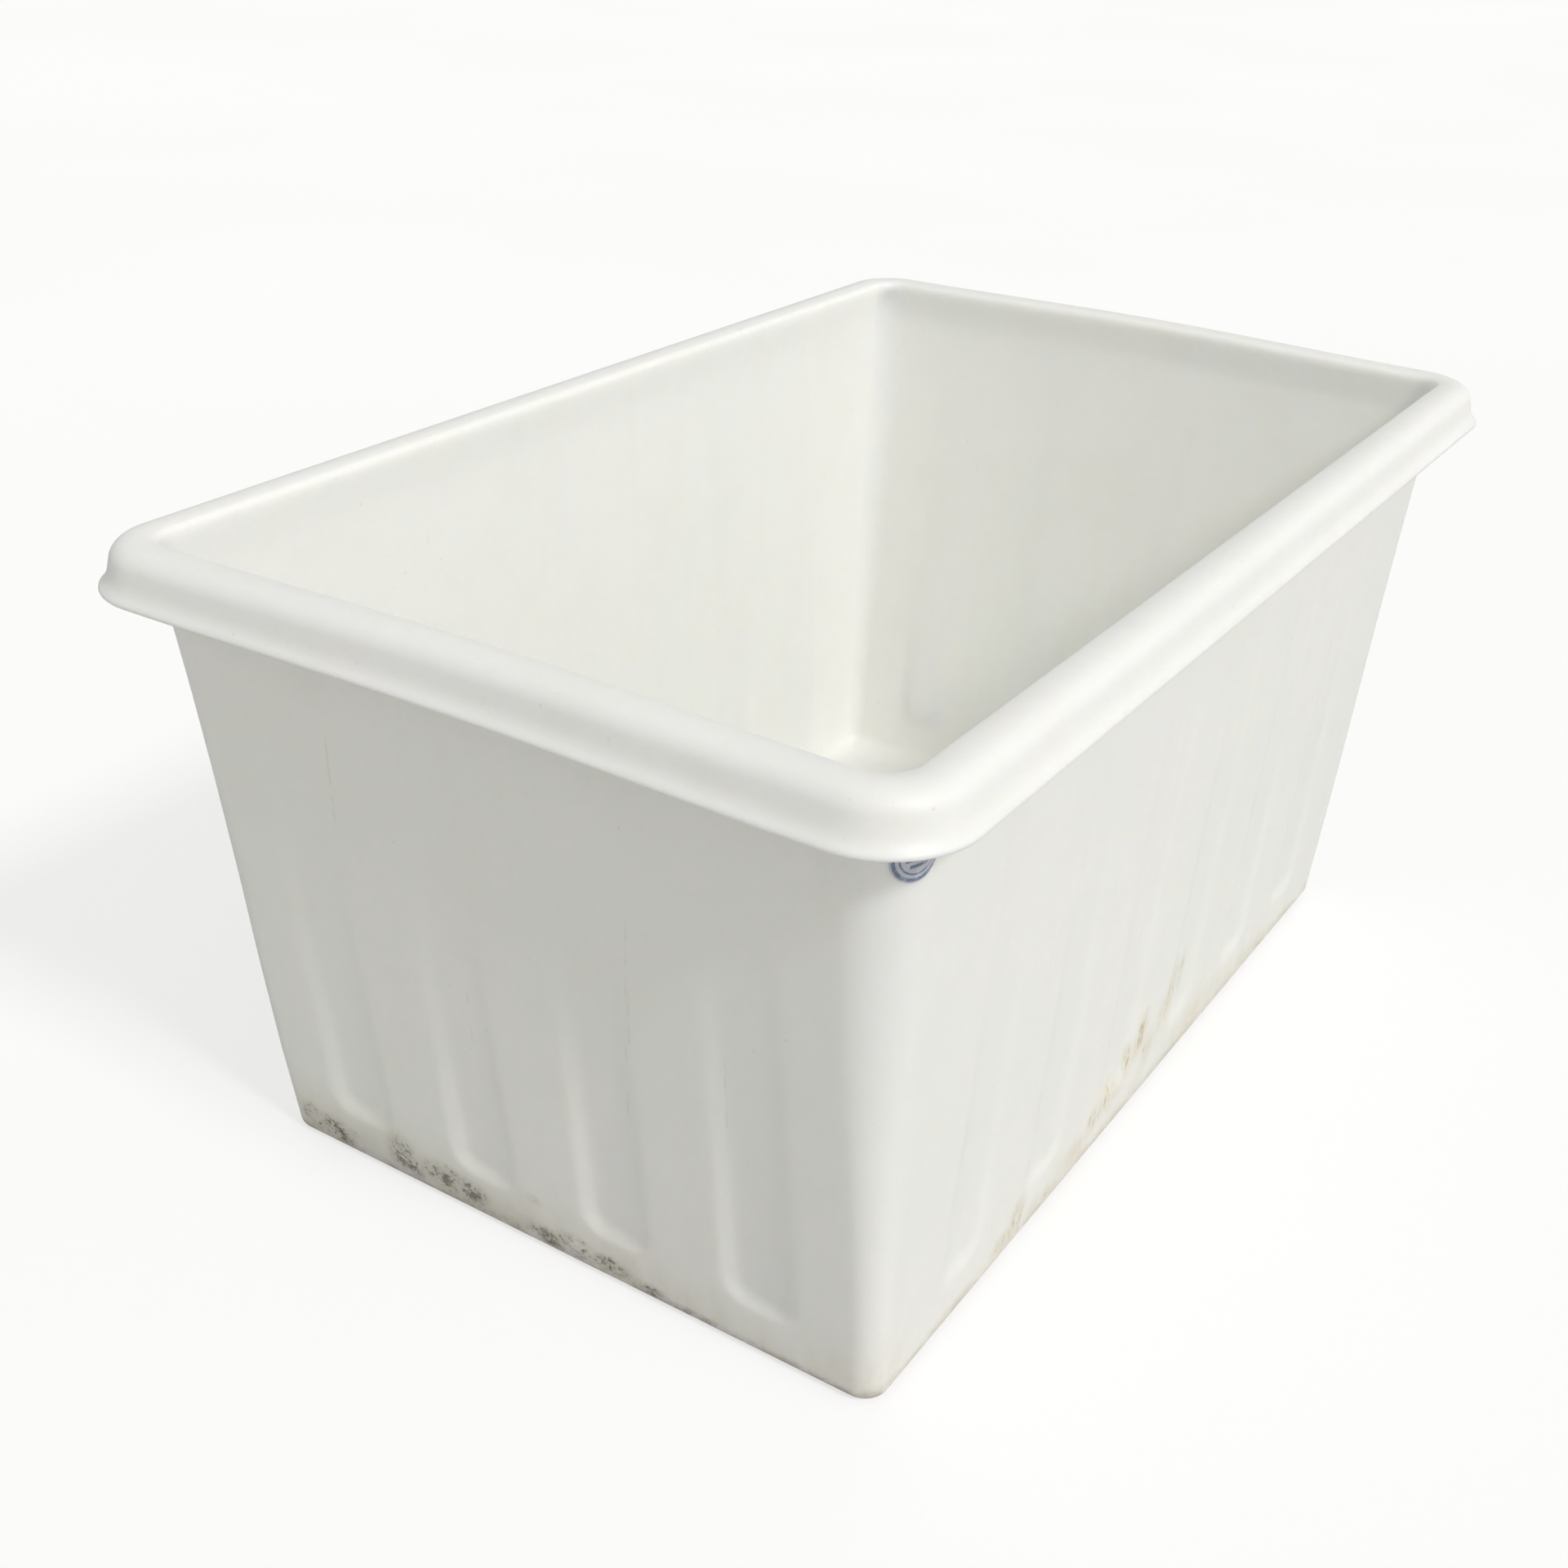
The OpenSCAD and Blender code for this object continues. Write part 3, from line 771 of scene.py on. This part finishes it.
# a pale, softly lit floor to look at, and a greyer one just under it that throws light back up at the tub
floor_obj = make_floor("studio_floor", -0.0004, (0.34, 0.34, 0.339, 1.0), (0.325, 0.325, 0.324, 1.0), 0.665)
floor_obj.visible_diffuse = False
floor_obj.visible_glossy = False
floor_obj.visible_transmission = False
floor_obj.visible_shadow = False
under_obj = make_floor("studio_floor_bounce", -0.0012, (0.54, 0.54, 0.535, 1.0), (0.52, 0.52, 0.515, 1.0), 0.0)
under_obj.visible_camera = False


# a plain pale backdrop far behind, seen by the camera only
drop_mesh = bpy.data.meshes.new("studio_backdrop")
ring_n = 96
ring = [(38.0 * math.cos(2 * math.pi * i / ring_n), 38.0 * math.sin(2 * math.pi * i / ring_n)) for i in range(ring_n)]
drop_mesh.from_pydata([(u, v, -0.0004) for u, v in ring] + [(u, v, 45.0) for u, v in ring], [],
                      [(i, i + ring_n, (i + 1) % ring_n + ring_n, (i + 1) % ring_n) for i in range(ring_n)])
drop_mesh.update()
drop = bpy.data.objects.new("studio_backdrop", drop_mesh)
bpy.context.scene.collection.objects.link(drop)
dn = Net("studio_backdrop")
dn.bsdf.inputs["Base Color"].default_value = (0.0, 0.0, 0.0, 1.0)
dn.bsdf.inputs["Roughness"].default_value = 1.0
dn.bsdf.inputs["Specular IOR Level"].default_value = 0.0
dn.bsdf.inputs["Emission Color"].default_value = (1.0, 1.0, 0.995, 1.0)
dn.put(dn.bsdf.inputs["Emission Strength"], dn.ramp(dn.noise(dn.scaled(1, 1, 1), 0.03, 1.0, 0.5), 0.2, 0.8, 0.91, 0.94))
drop_mesh.materials.append(dn.mat)
for flag in ("visible_diffuse", "visible_glossy", "visible_transmission", "visible_shadow"):
    setattr(drop, flag, False)

scene = bpy.context.scene
world = bpy.data.worlds.new("studio_world")
scene.world = world
world.use_nodes = True
wt = world.node_tree
bg = wt.nodes.get("Background") or wt.nodes.new("ShaderNodeBackground")
w_coord = wt.nodes.new("ShaderNodeTexCoord")
w_sep = wt.nodes.new("ShaderNodeSeparateXYZ")
wt.links.new(w_coord.outputs["Generated"], w_sep.inputs[0])
w_ramp = wt.nodes.new("ShaderNodeMapRange")
w_ramp.interpolation_type = "SMOOTHSTEP"
for i, val in enumerate((-0.1, 0.9, 0.53, 0.50)):
    w_ramp.inputs[1 + i].default_value = val
wt.links.new(w_sep.outputs[2], w_ramp.inputs[0])
w_front = wt.nodes.new("ShaderNodeMapRange")
w_front.interpolation_type = "SMOOTHSTEP"
for i, val in enumerate((0.15, -1.0, 0.0, 0.17)):
    w_front.inputs[1 + i].default_value = val
wt.links.new(w_sep.outputs[1], w_front.inputs[0])
w_sum = wt.nodes.new("ShaderNodeMath")
w_sum.operation = "ADD"
wt.links.new(w_ramp.outputs[0], w_sum.inputs[0])
wt.links.new(w_front.outputs[0], w_sum.inputs[1])
wt.links.new(w_sum.outputs[0], bg.inputs[1])
bg.inputs[0].default_value = (1.0, 0.997, 0.985, 1.0)
scene.view_settings.view_transform = "Standard"
scene.view_settings.look = "None"
scene.view_settings.exposure = 0.0
scene.view_settings.gamma = 1.0

key_dir = Vector((-0.16, -0.69, 0.70)).normalized()
key_data = bpy.data.lights.new("key", "SUN")
key_data.energy = 1.63
key_data.angle = math.radians(11.0)
key_data.color = (1.0, 0.985, 0.955)
key = bpy.data.objects.new("key", key_data)
key.rotation_mode = "QUATERNION"
key.rotation_quaternion = key_dir.to_track_quat("Z", "Y")
key.location = key_dir * 4.0
scene.collection.objects.link(key)

cam_data = bpy.data.cameras.new("camera")
cam_data.sensor_width = 36.0
cam_data.lens = 44.50
cam_data.clip_start = 0.05
cam_data.clip_end = 200.0
cam = bpy.data.objects.new("camera", cam_data)
cam_pos = Vector((-1.5760, -0.8792, 1.1892))
fwd = Vector((0.7527, 0.4710, -0.4600)).normalized()
up = Vector((0.3693, 0.2764, 0.8873))
up = (up - fwd * up.dot(fwd)).normalized()
right = fwd.cross(up).normalized()
rot = Matrix((right, up, -fwd)).transposed()
cam.matrix_world = Matrix.Translation(cam_pos) @ rot.to_4x4()
scene.collection.objects.link(cam)
scene.camera = cam
